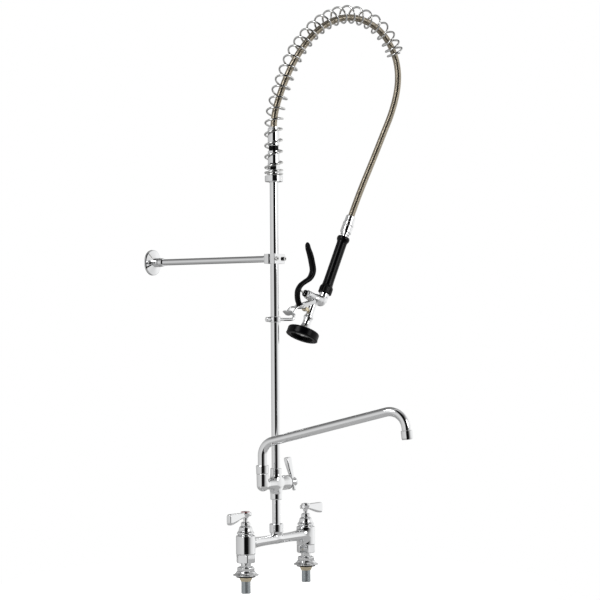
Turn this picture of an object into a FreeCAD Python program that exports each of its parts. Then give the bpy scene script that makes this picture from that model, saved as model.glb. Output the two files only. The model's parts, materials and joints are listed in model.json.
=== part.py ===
import FreeCAD, Part
import os
from math import sin, cos, tan, radians, pi, sqrt

# Deck-mounted pre-rinse faucet, mm. Origin on the deck midway between the inlets.
# +X runs along the body to the cold side, +Y points to the wall, +Z is up.
os.makedirs("parts", exist_ok=True)
V = FreeCAD.Vector
X, Y, Z = V(1, 0, 0), V(0, 1, 0), V(0, 0, 1)

# ---- driving dimensions ----------------------------------------------------
CENTRES = 203.2                    # inlet spacing
HALF = CENTRES / 2
SHANK_R, SHANK_BORE, SHANK_DROP = 9.0, 6.5, 31.0
GASKET_T, GASKET_R, WASHER_R = 3.0, 18.5, 12.2
BARREL_Z, BARREL_TOP, BARREL_R = 43.0, 79.0, 18.4
BRIDGE_Z, BRIDGE_R, BORE_R = 63.0, 9.0, 5.5
BOSS_TOP, BOSS_AF = 93.0, 25.6
STEM_R, RUN = 4.0, 0.06            # stems and their running clearance
HUB_Z, HUB_TOP = 109.5, 124.0
BLADE_L, BLADE_H, BLADE_T, TAIL_L = 54.0, 21.0, 10.4, 17.5
NIPPLE_R, NIPPLE_Z, NIPPLE_TOP = 7.75, 85.0, 148.0
ADD_Z, ADD_END, ADD_TILT = 171.0, 38.0, 12.5
ADD_LOW, ADD_HIGH = 140.0, 201.0
SOCKET_X, SOCKET_TOP = -45.0, 193.0
SPOUT_R, SPOUT_BORE, SPOUT_AIM = 8.7, 7.0, -80.0
SPOUT_CORNER_Z, SPOUT_REACH, SPOUT_TOP_Z = 251.0, 294.0, 324.0
RISER_R, RISER_BORE, RISER_Z, RISER_TOP = 8.15, 6.6, 193.0, 795.0
CLAMP_Z, CLAMP_H, CLAMP_W, CLAMP_D = 609.0, 19.0, 36.0, 26.0
ARM_R, WALL_Y, WALL_R, WALL_HOLE = 6.4, 305.0, 26.0, 34.0
HOLDER_Z, HOLDER_H, HOLDER_R = 759.0, 12.0, 17.5
HOOK_Z, HOOK_H, HOOK_R = 485.4, 11.0, 11.5
ADAPTER_Z, ADAPTER_TOP, SWIVEL_Z, HOSE_Z = 782.0, 819.0, 829.3, 866.0
NUT_R = 11.3
SPRING_R, WIRE_R, TURNS_EACH = 16.5, 2.0, 3
PITCHES = [4.3, 10.7] + [21.87] * 23 + [18.0, 14.0, 10.0]      # spring, turn by turn
SPRING_EASE, SPRING_BULGE = 120.0, 3.2
HOSE_R, HOSE_BORE, HOSE_START, HOSE_END_W = 7.4, 4.2, 852.0, 165.0
STEP = 2.0                         # spacing of the points read along the hose line
AIM = -18.0                        # heading of the overhead spring from +X
LEAN = 24.0                        # sprayer grip from the vertical
HEAD_S, HEAD_Z = 117.0, 527.0      # grip socket, out from the riser and up
NECK_U = 18.0                      # spray neck beside the grip axis
VALVE_W = -3.0                     # height of the valve on the spray body
PIVOT_U, PIVOT_W, PIN_R = 46.0, -32.0, 2.0
BUMPER_R, BUMPER_W = 32.0, -87.0
LEVER_T, LEVER_W = 9.0, 12.4
RING_R, RING_N = 1.7, 11.2


# ---- helpers ---------------------------------------------------------------
def cyl(r, z0, z1, x=0.0, y=0.0):
    return Part.makeCylinder(r, z1 - z0, V(x, y, z0))


def rod(r, start, end):
    return Part.makeCylinder(r, (end - start).Length, start, end - start)


def spun(profile, x=0.0, y=0.0):
    """Solid of revolution about a vertical axis from (radius, height) points."""
    pts = [V(r, 0, z) for r, z in profile]
    face = Part.Face(Part.makePolygon(pts + pts[:1]))
    return face.revolve(V(0, 0, 0), Z, 360).translated(V(x, y, 0))


def swelled(profile):
    """Solid of revolution about Z whose outline is a smooth curve through (radius, height) points."""
    pts = [V(r, 0, z) for r, z in profile]
    curve = Part.BSplineCurve()
    curve.interpolate(pts)
    low, high = V(0, 0, profile[0][1]), V(0, 0, profile[-1][1])
    closing = Part.makePolygon([pts[-1], high, low, pts[0]])
    return Part.Face(Part.Wire([curve.toShape()] + closing.Edges)).revolve(V(0, 0, 0), Z, 360)


def hexed(af, z0, z1, chamfer=1.2):
    """Hexagon bar with turned corners, axis on Z."""
    r = af / sqrt(3)
    pts = [V(r * cos(radians(60 * i)), r * sin(radians(60 * i)), z0) for i in range(7)]
    bar = Part.Face(Part.makePolygon(pts)).extrude(V(0, 0, z1 - z0))
    a = af / 2 + 0.2
    turned = spun([(0, z0), (a, z0), (r, z0 + chamfer), (r, z1 - chamfer), (a, z1), (0, z1)])
    return bar.common(turned)


def seat(shape, origin, zdir, xdir):
    """Moves a shape modelled on the origin so its Z and X axes follow two directions."""
    zd = V(zdir).normalize()
    yd = zd.cross(xdir).normalize()
    xd = yd.cross(zd)
    m = FreeCAD.Matrix(xd.x, yd.x, zd.x, origin.x, xd.y, yd.y, zd.y, origin.y,
                       xd.z, yd.z, zd.z, origin.z, 0, 0, 0, 1)
    return shape.transformed(m)


def pair(shape):
    """One copy at each inlet."""
    return [shape.translated(V(-HALF, 0, 0)), shape.translated(V(HALF, 0, 0))]


def mirrored(shape):
    return shape.mirror(V(0, 0, 0), X)


def rounded(points, radii=None, label=None):
    """Edges of a path of straight runs joined by tangent arcs."""
    edges, last, least = [], points[0], 1e9
    for i in range(1, len(points) - 1):
        a, b, c = points[i - 1], points[i], points[i + 1]
        u, w = (a - b).normalize(), (c - b).normalize()
        half = (pi - u.getAngle(w)) / 2
        short = min((a - b).Length, (c - b).Length)
        r = radii[i - 1] if radii else 0.45 * short / tan(half)
        least = min(least, r)
        t = r * tan(half)
        p, q = b + u * t, b + w * t
        mid = b + (u + w).normalize() * (r / cos(half) - r)
        edges.append(Part.LineSegment(last, p).toShape())
        edges.append(Part.Arc(p, mid, q).toShape())
        last = q
    edges.append(Part.LineSegment(last, points[-1]).toShape())
    if label:
        print(label, "length", round(sum(e.Length for e in edges), 1), "least radius", round(least, 1))
    return edges


def piped(edges, r, bore=0.0):
    wire = Part.Wire(edges)
    start, way = edges[0].valueAt(edges[0].FirstParameter), edges[0].tangentAt(edges[0].FirstParameter)

    def one(radius):
        ring = Part.Wire([Part.makeCircle(radius, start, way)])
        return wire.makePipeShell([ring], True, False)
    return one(r).cut(one(bore)) if bore else one(r)


def save(name, *shapes):
    shape = shapes[0] if len(shapes) == 1 else Part.makeCompound(list(shapes))
    if not shape.isValid():
        print("INVALID", name)
    shape.exportStep("parts/" + name + ".step")
    print(name, round(shape.Volume), len(shape.Solids))
    return shape


def out(s, z, n=0.0):
    """Point in the overhead plane: s out from the riser, n across it, z up."""
    a = radians(AIM)
    return V(s * cos(a) - n * sin(a), s * sin(a) + n * cos(a), z)


# ---- inlets under and over the deck ----------------------------------------
gasket = cyl(GASKET_R, 0, GASKET_T).cut(cyl(WASHER_R + 0.4, -1, GASKET_T + 1))
escutcheon = spun([(SHANK_R, GASKET_T), (24.0, GASKET_T), (24.6, 3.8), (24.6, 5.2), (20.5, 8.0),
                   (18.0, 11.0), (SHANK_R, 11.0)])
lock_ring = spun([(SHANK_R, 11), (15.8, 11), (16.6, 12), (16.6, 19), (15.8, 20), (SHANK_R, 20)])
washer = spun([(SHANK_R, -8.0), (9.6, -8.0), (WASHER_R, -2.0), (WASHER_R, GASKET_T), (SHANK_R, GASKET_T)])
shank = spun([(SHANK_BORE, -SHANK_DROP), (8.4, -SHANK_DROP), (SHANK_R, -SHANK_DROP + 1), (SHANK_R, 33),
              (13.0, 33), (13.0, 38), (SHANK_BORE, 38)])
coupling = hexed(33.0, 27, BARREL_Z).cut(cyl(SHANK_R, 26, 34)).cut(cyl(13.2, 33, BARREL_Z + 1))
shank_seal = cyl(13.0, 38, 40).cut(cyl(SHANK_BORE, 37, 41))
for name, shape in (("inlet_shanks", shank), ("coupling_nuts", coupling), ("deck_gaskets", gasket),
                    ("escutcheons", escutcheon), ("lock_rings", lock_ring), ("tapered_washers", washer)):
    save(name, *pair(shape))

# ---- mixing body: two valve barrels, a bridge and the riser boss -----------
half_bridge = swelled([(BRIDGE_R, 0), (BRIDGE_R, 20), (9.1, 44), (9.6, 60), (10.6, 76), (12.0, 88),
                       (12.6, 92)])
half_bridge = seat(half_bridge, V(0, 0, BRIDGE_Z), X, Z)
body = half_bridge.fuse(mirrored(half_bridge))
for sx in (-HALF, HALF):
    body = body.fuse(spun([(0, 40), (13.2, 40), (13.2, BARREL_Z), (17.4, BARREL_Z),
                           (BARREL_R, BARREL_Z + 1.2), (BARREL_R, BARREL_TOP - 1.2), (17.4, BARREL_TOP),
                           (0, BARREL_TOP)], sx))
body = body.fuse(Part.makeCone(7.6, 12.4, 13, V(0, 0, BRIDGE_Z),
                               Z)).fuse(hexed(BOSS_AF, BRIDGE_Z + 12, BOSS_TOP))
body = body.cut(rod(BORE_R, V(-HALF, 0, BRIDGE_Z), V(HALF, 0, BRIDGE_Z)))
body = body.cut(cyl(BORE_R, BRIDGE_Z, BOSS_TOP)).cut(cyl(NIPPLE_R, NIPPLE_Z, BOSS_TOP + 1))
for sx in (-HALF, HALF):
    body = body.cut(cyl(SHANK_BORE, 39, 55, sx)).cut(cyl(11.5, 54, BARREL_TOP + 1, sx))
save("mixing_body", body)

# ---- valves ----------------------------------------------------------------
cartridge = cyl(11.5, 54, 84).cut(cyl(8.3, 55.6, 62)).cut(cyl(STEM_R + RUN, 60, 85)).cut(cyl(3, 53, 57))
cartridge = cartridge.cut(rod(3.2, V(-12, 0, 63 + 3.5), V(12, 0, 63 + 3.5)))
cartridge = cartridge.cut(cyl(STEM_R + 2, 62, 71))
bonnet = spun([(11.5, 79), (13.4, 79), (16.4, 81.5), (16.4, 84.5), (13.4, 88.5), (12.6, 91), (12.4, 95.6),
               (10.6, 97), (6.5, 97), (6.5, 84), (11.5, 84)])
stem_seal = cyl(6.5, 88, 94).cut(cyl(STEM_R + RUN, 87, 95))
packing = hexed(17.4, 97, 105, 0.8).cut(cyl(STEM_R + RUN, 96, 106))
stem = cyl(STEM_R, 60, 118).fuse(cyl(8.2, 56, 60)).cut(cyl(1.8, 111.5, 119))
screw = cyl(4.2, 118, 121).fuse(cyl(1.8, 111.5, 118.5))


def lever_handle(hub_z, hub_top, length, end_low, end_high):
    """Lever with an inverted-cone hub at the origin and its blade along +X."""
    hub = spun([(0, hub_z), (4.9, hub_z), (8.7, hub_top - 2), (8.7, hub_top), (0, hub_top)])
    k = 1.6                                             # cut corner of the blade's section

    def slab(x, half, low, high):
        pts = [V(x, -half + k, low), V(x, half - k, low), V(x, half, low + k), V(x, half, high - k),
               V(x, half - k, high), V(x, -half + k, high), V(x, -half, high - k), V(x, -half, low + k)]
        return Part.makePolygon(pts + pts[:1])
    blade = Part.makeLoft([slab(4, 3.6, hub_z + 5.5, hub_top - 1.0),
                           slab(24, 3.9, hub_z + 4, hub_top - 0.8),
                           slab(length - 6, BLADE_T / 2, end_low, end_high),
                           slab(length, BLADE_T / 2 - 0.4, end_low + 0.6, end_high - 0.6)], True, True)
    tail = Part.makeLoft([slab(-4, 3.2, hub_z + 4, hub_top - 1),
                          slab(-TAIL_L, 2.6, hub_z + 5, hub_top - 1.5)], True, True)
    return hub.fuse(blade).fuse(tail)


handle = lever_handle(HUB_Z, HUB_TOP, BLADE_L, HUB_TOP - 0.5 - BLADE_H, HUB_TOP - 0.5)
handle = handle.cut(cyl(STEM_R, HUB_Z - 1, 118)).cut(cyl(5.5, 118, HUB_TOP + 1))
button = spun([(0, 122), (5.5, 122), (5.5, 124.2), (4.6, 125.4), (0, 125.6)])
for side, s in (("hot", -1), ("cold", 1)):
    at = V(s * HALF, 0, 0)
    save("stem_" + side, stem.translated(at))
    save("handle_" + side, (mirrored(handle) if s < 0 else handle).translated(at))
    save("index_screw_" + side, screw.translated(at), button.translated(at))
for name, shape in (("cartridges", cartridge), ("bonnets", bonnet), ("packing_nuts", packing)):
    save(name, *pair(shape))
save("body_seals", *(pair(stem_seal) + pair(shank_seal)))

# ---- add-on faucet ---------------------------------------------------------
def sideways(shape):
    """Stands a shape modelled on the Z axis along +X through the add-on faucet."""
    return seat(shape, V(0, 0, ADD_Z), X, V(0, 0, 1))


save("lower_nipple", cyl(NIPPLE_R, NIPPLE_Z, NIPPLE_TOP).cut(cyl(BORE_R, NIPPLE_Z - 1, NIPPLE_TOP + 1)))
add = sideways(swelled([(9.6, SOCKET_X), (9.8, -32), (10.6, -20), (12.4, -8), (13.0, 4), (13.2, 14),
                        (14.2, 25), (14.3, 32), (13.8, ADD_END)]))
add = add.fuse(spun([(0, ADD_LOW), (10.4, ADD_LOW), (11, ADD_LOW + 0.8), (11, ADD_LOW + 12),
                     (12.4, ADD_LOW + 24), (0, ADD_LOW + 30)]))
add = add.fuse(spun([(0, ADD_HIGH - 30), (12.0, ADD_HIGH - 24), (10.8, ADD_HIGH - 14),
                     (10.8, ADD_HIGH - 0.8), (10.2, ADD_HIGH), (0, ADD_HIGH)]))
add = add.fuse(spun([(0, 159.5), (5.0, 160.3), (8.6, 163.0), (10.6, 167.5), (11.4, SOCKET_TOP),
                     (0, SOCKET_TOP)], SOCKET_X))
add = add.cut(cyl(NIPPLE_R, ADD_LOW - 1, NIPPLE_TOP)).cut(cyl(BORE_R, NIPPLE_TOP - 1, RISER_Z))
add = add.cut(cyl(RISER_R, RISER_Z, ADD_HIGH + 1))
add = add.cut(rod(BORE_R, V(SOCKET_X, 0, ADD_Z), V(ADD_END - 21, 0, ADD_Z)))
add = add.cut(rod(10.0, V(ADD_END - 26, 0, ADD_Z), V(ADD_END + 1, 0, ADD_Z)))
add = add.cut(cyl(BORE_R, ADD_Z, 178, SOCKET_X)).cut(cyl(SPOUT_R + 0.07, 177, SOCKET_TOP + 1, SOCKET_X))
save("addon_body", add)


def at_end(shape):
    """Places a valve part that is modelled from the open end of the add-on body."""
    return sideways(shape.translated(V(0, 0, ADD_END)))


save("addon_cartridge", at_end(cyl(10.0, -26, 4).cut(cyl(7.4, -24.4, -19)).cut(cyl(STEM_R + RUN, -21, 5))
                               .cut(cyl(2.6, -27, -24)).cut(rod(2.6, V(-11, 0, -16), V(11, 0, -16)))))
save("addon_bonnet", at_end(spun([(10, 0), (13.6, 0), (13.6, 2.5), (10.4, 5.5), (9.4, 8), (STEM_R + RUN, 8),
                                  (STEM_R + RUN, 4), (10, 4)])))
save("addon_stem", at_end(cyl(STEM_R, -20.1, 17).fuse(cyl(7.2, -24, -20.1)).cut(cyl(1.8, 11, 18))))
tilt = V(0, sin(radians(ADD_TILT)), cos(radians(ADD_TILT)))
addon_lever = lever_handle(0, 14.5, 49.0, -1.5, 14.5).cut(cyl(STEM_R, -1, 7)).cut(cyl(4.2, 7, 11))
save("addon_handle", seat(addon_lever.cut(cyl(5.0, 10, 16)), V(ADD_END + 10, 0, ADD_Z), X, tilt))
save("addon_index_screw", at_end(cyl(4.2, 17, 20).fuse(cyl(1.8, 11, 17.5))),
     at_end(spun([(0, 20), (5, 20), (5, 25.2), (4.2, 26), (0, 26.2)])))

# ---- swing spout -----------------------------------------------------------
spout_way = V(cos(radians(SPOUT_AIM)), sin(radians(SPOUT_AIM)), 0)


def spout_point(s, height):
    return V(SOCKET_X, 0, height) + spout_way * s


tip_dir = spout_way * 0.107 - Z * 0.994
corner = spout_point(SPOUT_REACH, SPOUT_TOP_Z)
path = [spout_point(0, 178), spout_point(0, SPOUT_CORNER_Z), corner, corner + tip_dir * 58]
spout = piped(rounded(path, [29.0, 33.0], "spout"), SPOUT_R, SPOUT_BORE)
for gz in (181.0, 187.0):
    spout = spout.cut(cyl(20, gz, gz + 2, SOCKET_X).cut(cyl(7.8, gz - 1, gz + 3, SOCKET_X)))
save("spout_tube", spout)
seals = [cyl(8.74, gz, gz + 2, SOCKET_X).cut(cyl(7.8, gz - 1, gz + 3, SOCKET_X)) for gz in (181.0, 187.0)]
save("spout_seals", *seals, cyl(9.9, 193.35, 196, SOCKET_X).cut(cyl(SPOUT_R, 193, 197, SOCKET_X)))
save("spout_nut", spun([(10.3, 193), (11.5, 193), (11.9, 193.8), (12.3, 208), (11.6, 209.4),
                        (SPOUT_R + 0.07, 209.4), (SPOUT_R + 0.07, 196.4), (10.3, 196.4)], SOCKET_X))
collar = spun([(SPOUT_R, 0), (10.0, 0), (10.8, 1.0), (10.8, 14.5), (9.8, 17.4), (8.0, 17.4), (8.0, 15),
               (SPOUT_R, 15)])
tip = corner + tip_dir * 43
save("spout_tip_collar", seat(collar, tip, tip_dir, spout_way))
guide = cyl(7.0, 6, 15)
for i in range(6):
    guide = guide.cut(cyl(1.3, 5, 16, 4.2 * cos(i * pi / 3), 4.2 * sin(i * pi / 3)))
save("stream_guide", seat(guide.cut(cyl(1.3, 5, 16)), tip, tip_dir, spout_way))

# ---- riser and wall bracket ------------------------------------------------
save("riser", cyl(RISER_R, RISER_Z, RISER_TOP).cut(cyl(RISER_BORE, RISER_Z - 1, RISER_TOP + 1)))
low, high, half_w, half_d = CLAMP_Z - CLAMP_H / 2, CLAMP_Z + CLAMP_H / 2, CLAMP_W / 2, CLAMP_D / 2


def block(y0, y1):
    b = Part.makeBox(CLAMP_W, y1 - y0, CLAMP_H, V(-half_w, y0, low))
    b = b.makeFillet(2.5, [e for e in b.Edges if abs(e.tangentAt(0).z) > 0.99])
    return b.cut(cyl(RISER_R, low - 1, high + 1))


front, back = block(-half_d, -0.8), block(0.8, half_d)
back = back.fuse(rod(8.2, V(0, half_d - 1, CLAMP_Z), V(0, half_d + 9, CLAMP_Z)))
back = back.cut(rod(ARM_R, V(0, half_d + 1, CLAMP_Z), V(0, half_d + 12, CLAMP_Z)))
screws = []
for sx in (-12.6, 12.6):
    front = front.cut(rod(2.5, V(sx, -half_d - 1, CLAMP_Z), V(sx, 0, CLAMP_Z)))
    back = back.cut(rod(2.5, V(sx, 0, CLAMP_Z), V(sx, 9, CLAMP_Z)))
    bolt = rod(2.5, V(sx, -half_d, CLAMP_Z), V(sx, 9, CLAMP_Z))
    bolt = bolt.fuse(rod(4.2, V(sx, -half_d - 4, CLAMP_Z), V(sx, -half_d, CLAMP_Z)))
    screws.append(bolt.cut(seat(hexed(4.0, 0, 2.5, 0.2), V(sx, -half_d - 4.2, CLAMP_Z), Y, X)))
save("clamp_cap", front)
save("clamp_body", back)
save("wall_arm", rod(ARM_R, V(0, half_d + 1, CLAMP_Z), V(0, WALL_Y - 9, CLAMP_Z)))


def to_wall(shape):
    """Stands a shape modelled on +Z along +Y at the wall bracket height."""
    return seat(shape, V(0, 0, CLAMP_Z), Y, X)


flange = spun([(0, WALL_Y - 9), (8.8, WALL_Y - 9), (12, WALL_Y - 8.0), (24.5, WALL_Y - 4.5),
               (WALL_R, WALL_Y - 3), (WALL_R, WALL_Y), (0, WALL_Y)])
for sx in (-WALL_HOLE / 2, WALL_HOLE / 2):
    flange = flange.cut(cyl(2.4, WALL_Y - 12, WALL_Y + 1, sx)).cut(cyl(4.5, WALL_Y - 12, WALL_Y - 4.6, sx))
save("wall_flange", to_wall(flange))
sleeve = spun([(ARM_R, WALL_Y - 30), (8.0, WALL_Y - 30), (8.6, WALL_Y - 29), (8.6, WALL_Y - 20),
               (9.4, WALL_Y - 19), (9.4, WALL_Y - 9), (ARM_R, WALL_Y - 9)])
set_axis = (V(-12, WALL_Y - 14, CLAMP_Z), V(-ARM_R, WALL_Y - 14, CLAMP_Z))
save("wall_sleeve", to_wall(sleeve).cut(rod(1.8, *set_axis)))
set_screw = rod(1.8, V(-9.6, WALL_Y - 14, CLAMP_Z), set_axis[1])
set_screw = set_screw.cut(rod(0.9, V(-10, WALL_Y - 14, CLAMP_Z), V(-8.2, WALL_Y - 14, CLAMP_Z)))
save("bracket_screws", *screws, set_screw)

# ---- finger hook -----------------------------------------------------------
hook_mid = HOOK_Z + HOOK_H / 2
hook_s, hook_rise = 46.2, 6.5
thumb_bore = rod(2.4, out(-25, hook_mid), out(0, hook_mid))
hook_collar = spun([(RISER_R + 0.07, HOOK_Z), (HOOK_R - 0.8, HOOK_Z), (HOOK_R, HOOK_Z + 0.8),
                    (HOOK_R, HOOK_Z + HOOK_H - 0.8), (HOOK_R - 0.8, HOOK_Z + HOOK_H),
                    (RISER_R + 0.07, HOOK_Z + HOOK_H)])
hook_tip = out(hook_s, hook_mid + hook_rise)
hook = piped(rounded([out(HOOK_R - 1.5, hook_mid), out(hook_s, hook_mid), hook_tip], [5.0]), 3.0)
hook = hook.fuse(Part.makeSphere(3.0, hook_tip))
hook = hook.cut(cyl(HOOK_R - 1, HOOK_Z, HOOK_Z + HOOK_H))
save("finger_hook", hook_collar.cut(thumb_bore).fuse(hook))
knob = spun([(0, 12.2), (3.4, 12.2), (4.8, 13.2), (4.8, 20.2), (4.0, 21), (0, 21)]).fuse(cyl(2.4, 9.3, 13))
save("thumb_screw", seat(knob, out(0, hook_mid), out(-1, 0), Z))

# ---- overhead spring, swivel and hose --------------------------------------
save("snap_ring", cyl(9.6, HOLDER_Z - 1.7, HOLDER_Z - 0.3).cut(cyl(RISER_R, HOLDER_Z - 3, HOLDER_Z)))
holder = spun([(RISER_R + 0.07, HOLDER_Z), (16.7, HOLDER_Z), (HOLDER_R, HOLDER_Z + 0.8),
               (HOLDER_R, HOLDER_Z + HOLDER_H - 0.6), (16.9, HOLDER_Z + HOLDER_H),
               (RISER_R + 0.07, HOLDER_Z + HOLDER_H)])
save("spring_holder", holder)
save("riser_adapter", hexed(20.6, ADAPTER_Z, ADAPTER_Z + 14, 1.0)
     .fuse(cyl(NUT_R, ADAPTER_Z + 13, ADAPTER_TOP)).fuse(cyl(8.0, ADAPTER_TOP - 1, 845))
     .cut(cyl(RISER_R, ADAPTER_Z - 1, RISER_TOP)).cut(cyl(5, RISER_TOP - 1, 846)))
save("swivel_washer", cyl(9.4, ADAPTER_TOP, SWIVEL_Z - 0.4).cut(cyl(8.0, ADAPTER_TOP - 1, SWIVEL_Z)))
save("hose_nut_upper", spun([(8.06, SWIVEL_Z), (10.6, SWIVEL_Z), (NUT_R, SWIVEL_Z + 0.8), (NUT_R, 862.5),
                             (10.4, 863.4), (9.4, 863.4), (9.4, HOSE_Z), (HOSE_R, HOSE_Z),
                             (HOSE_R, HOSE_START), (5, HOSE_START), (5, 845.4), (8.06, 845.4)]))

lean = radians(LEAN)
up_s, up_z = sin(lean), cos(lean)                       # along the grip
off_s, off_z = -cos(lean), sin(lean)                    # from the grip to the riser


def spray(u, w, n=0.0):
    return out(HEAD_S + u * off_s + w * up_s, HEAD_Z + u * off_z + w * up_z, n)


sz = [(0, HOSE_START), (0, 878), (9, 913), (28.5, 958), (53, 1002), (86, 1045), (125, 1080), (172, 1101),
      (218, 1102), (265, 1085), (300, 1054), (322, 1014), (325, 968), (309, 916), (281, 865), (251, 813)]
ends = [spray(-1.4, HOSE_END_W + 84), spray(0, HOSE_END_W + 34), spray(0, HOSE_END_W)]
hose_points = [out(s, h) for s, h in sz] + ends
for p in hose_points:
    print("   (%.5f, %.5f, %.5f)," % (p.x / 1000, p.y / 1000, p.z / 1000))
hose_edges = rounded(hose_points, None, "hose")
hose = piped(hose_edges, HOSE_R, HOSE_BORE)
save("hose", hose)
print("hose volume check", round(hose.Volume / (pi * (HOSE_R ** 2 - HOSE_BORE ** 2)), 1))

stations = Part.Wire(hose_edges).discretize(Distance=STEP)
across = out(0, 0, 1)


def overhead(d):
    """Point of the spring's centreline at a distance along the hose line, and the way out of the bend."""
    if d < 0:
        return V(0, 0, HOSE_START + d), out(-1, 0)
    i = min(int(d / STEP), len(stations) - 2)
    f = d / STEP - i
    t = (stations[min(i + 3, len(stations) - 1)] - stations[max(i - 2, 0)]).normalize()
    outward = t.cross(across).normalize()
    ease = min(max(2 * d / SPRING_EASE - 1, 0), 2) / 2
    return stations[i] * (1 - f) + stations[i + 1] * f + outward * (SPRING_BULGE * ease), outward


def coil(marks, steps=20):
    """Round wire wound right-handed over whole turns that end at the given distances."""
    pts = []
    for k in range((len(marks) - 1) * steps + 1):
        i = min(k // steps, len(marks) - 2)
        centre, outward = overhead(marks[i] + (marks[i + 1] - marks[i]) * (k / steps - i))
        angle = 2 * pi * k / steps
        pts.append(centre + outward * (SPRING_R * cos(angle)) - across * (SPRING_R * sin(angle)))
    curve = Part.BSplineCurve()
    curve.interpolate(pts)
    start = curve.FirstParameter
    section = Part.Wire([Part.makeCircle(WIRE_R, curve.value(start), curve.tangent(start)[0])])
    return Part.Wire([curve.toShape()]).makePipeShell([section], True, True)


marks = [HOLDER_Z + HOLDER_H + WIRE_R - HOSE_START]
for pitch in PITCHES:
    marks.append(marks[-1] + pitch)
chunks = [marks[:2]] + [marks[i:i + TURNS_EACH + 1] for i in range(1, len(PITCHES), TURNS_EACH)]
save("overhead_spring", *[coil(chunk) for chunk in chunks])

# ---- sprayer: modelled with Z up the grip and X towards the riser ----------
spray_at, spray_z, spray_x = spray(0, 0), spray(0, 1) - spray(0, 0), spray(1, 0) - spray(0, 0)


def held(shape):
    return seat(shape, spray_at, spray_z, spray_x)


def valve(shape, u=0.0):
    """Lays a Z-axis shape along the valve, from the neck towards the lever."""
    return seat(shape, V(u, 0, VALVE_W), X, Z)


save("hose_nut_lower", held(spun([(9.0, 150), (10.6, 150), (11.2, 151), (11.2, 163), (10.2, 164.5),
                                  (11.2, 166), (11.2, 171), (10.0, 172.5), (9.8, 184.5), (9.2, 186),
                                  (8.0, 186), (8.0, 172), (HOSE_R, 172), (HOSE_R, 165), (5.0, 165),
                                  (5.0, 158), (9.0, 158)])))
tube = spun([(4.5, -6), (6.3, -6), (6.3, 146), (9.0, 146), (9.0, 157), (4.5, 157)])
save("handle_tube", held(tube))
grip = spun([(6.3, 16.5), (12.6, 16.5), (13.5, 17.5), (13.5, 29), (12.2, 31), (10.6, 34), (10.3, 60),
             (10.3, 128), (11.0, 131), (12.4, 132.5), (12.7, 134.5), (12.7, 138), (12.0, 140),
             (6.3, 140)])
for i in range(16):
    a = 2 * pi * i / 16
    grip = grip.cut(cyl(0.9, 16, 30, 14.0 * cos(a), 14.0 * sin(a)))
save("grip", held(grip))
save("grip_collar", held(spun([(6.3, 8), (9.0, 8), (9.6, 9), (9.6, 15.5), (8.8, 16.5), (6.3, 16.5)])))

knuckle = (V(2, 0, -1), V(14, 0, -2.5))
head = rod(10.4, *knuckle)
for end in knuckle:
    head = head.fuse(Part.makeSphere(10.4, end))
head = head.cut(cyl(26, 8, 14)).fuse(cyl(9.4, 0, 8))
head = head.fuse(spun([(0, 10), (6.0, 10), (9.6, 7), (10.8, 2), (10.8, -8), (9.4, -14), (7.8, -18),
                       (7.8, -40), (0, -40)], NECK_U))
head = head.fuse(valve(cyl(9.4, 0, 36 - NECK_U), NECK_U))
cheek = Part.makePolygon([V(NECK_U + 2, 0, -8), V(27, 0, -9), V(50, 0, -28.6), V(50.6, 0, -33),
                          V(48, 0, -36.4), V(43, 0, -36.6), V(NECK_U + 2, 0, -21), V(NECK_U + 2, 0, -8)])
cheek = Part.Face(cheek).extrude(V(0, 2.4, 0))
for n in (6.5, -8.9):
    head = head.fuse(cheek.translated(V(0, n, 0)))
head = head.fuse(Part.makeBox(14.0, 13.0, 10.0, V(24, -6.5, -37)))
head = head.cut(cyl(6.3, -6, 9)).cut(rod(4.2, V(0, 0, -1), V(NECK_U, 0, -1))).cut(cyl(4.2, -7, 0))
head = head.cut(cyl(5.2, -41, -6, NECK_U)).cut(valve(cyl(6.6, -2, 20), NECK_U))
head = head.cut(rod(PIN_R, V(PIVOT_U, -12, PIVOT_W), V(PIVOT_U, 12, PIVOT_W)))
save("spray_body", held(head))
save("valve_bonnet", held(valve(spun([(1.9 + RUN, 12), (6.6, 12), (6.6, 18), (8.8, 18), (8.8, 22),
                                      (7.2, 23.5), (7.2, 25.6), (1.9 + RUN, 25.6)]), NECK_U)))
save("valve_cap", held(valve(spun([(1.9 + RUN, 25.6), (6.9, 25.6), (6.9, 28.4), (6.1, 29.2),
                                   (1.9 + RUN, 29.2)]), NECK_U)))
save("spray_plunger", held(valve(cyl(1.9, 5, 38.9).fuse(cyl(5.6, 4.7, 6.6)), NECK_U)))

bell = spun([(7.8, -40), (9.4, -41), (9.8, -44), (8.6, -47), (8.0, -52), (8.2, -58), (10.0, -64),
             (15.5, -69), (24.0, -72.2), (26.5, -73.4), (26.5, -75), (22, -75), (14, -71.6), (8.0, -67),
             (5.4, -60), (5.4, -40)])
save("spray_bell", held(bell.translated(V(NECK_U, 0, 0))))
bumper = spun([(26.5, -73.0), (29.5, -72.6), (BUMPER_R - 0.7, -74.2), (BUMPER_R, -76.4), (BUMPER_R, -81.0),
               (BUMPER_R - 0.9, -81.6), (BUMPER_R - 0.9, -82.2), (BUMPER_R, -82.8), (BUMPER_R, -84.6),
               (BUMPER_R - 1.2, BUMPER_W + 0.8), (29.0, BUMPER_W), (23.4, BUMPER_W), (22.4, BUMPER_W + 1.4),
               (22.4, -81.6), (24.0, -81.6), (24.0, -78), (22, -78), (22, -75), (26.5, -75)])
save("bumper", held(bumper.translated(V(NECK_U, 0, 0))))
face = cyl(22.0, -80.6, -78.4).fuse(cyl(24.0, -81.6, -80.4)).cut(cyl(2.0, -83, -77))
for count, radius in ((6, 6.5), (12, 12.5), (18, 18.5)):
    for i in range(count):
        a = 2 * pi * i / count
        face = face.cut(cyl(0.9, -83, -77, radius * cos(a), radius * sin(a)))
post = cyl(4.2, -78.4, -74.4).cut(cyl(2.0, -79, -76))
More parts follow.
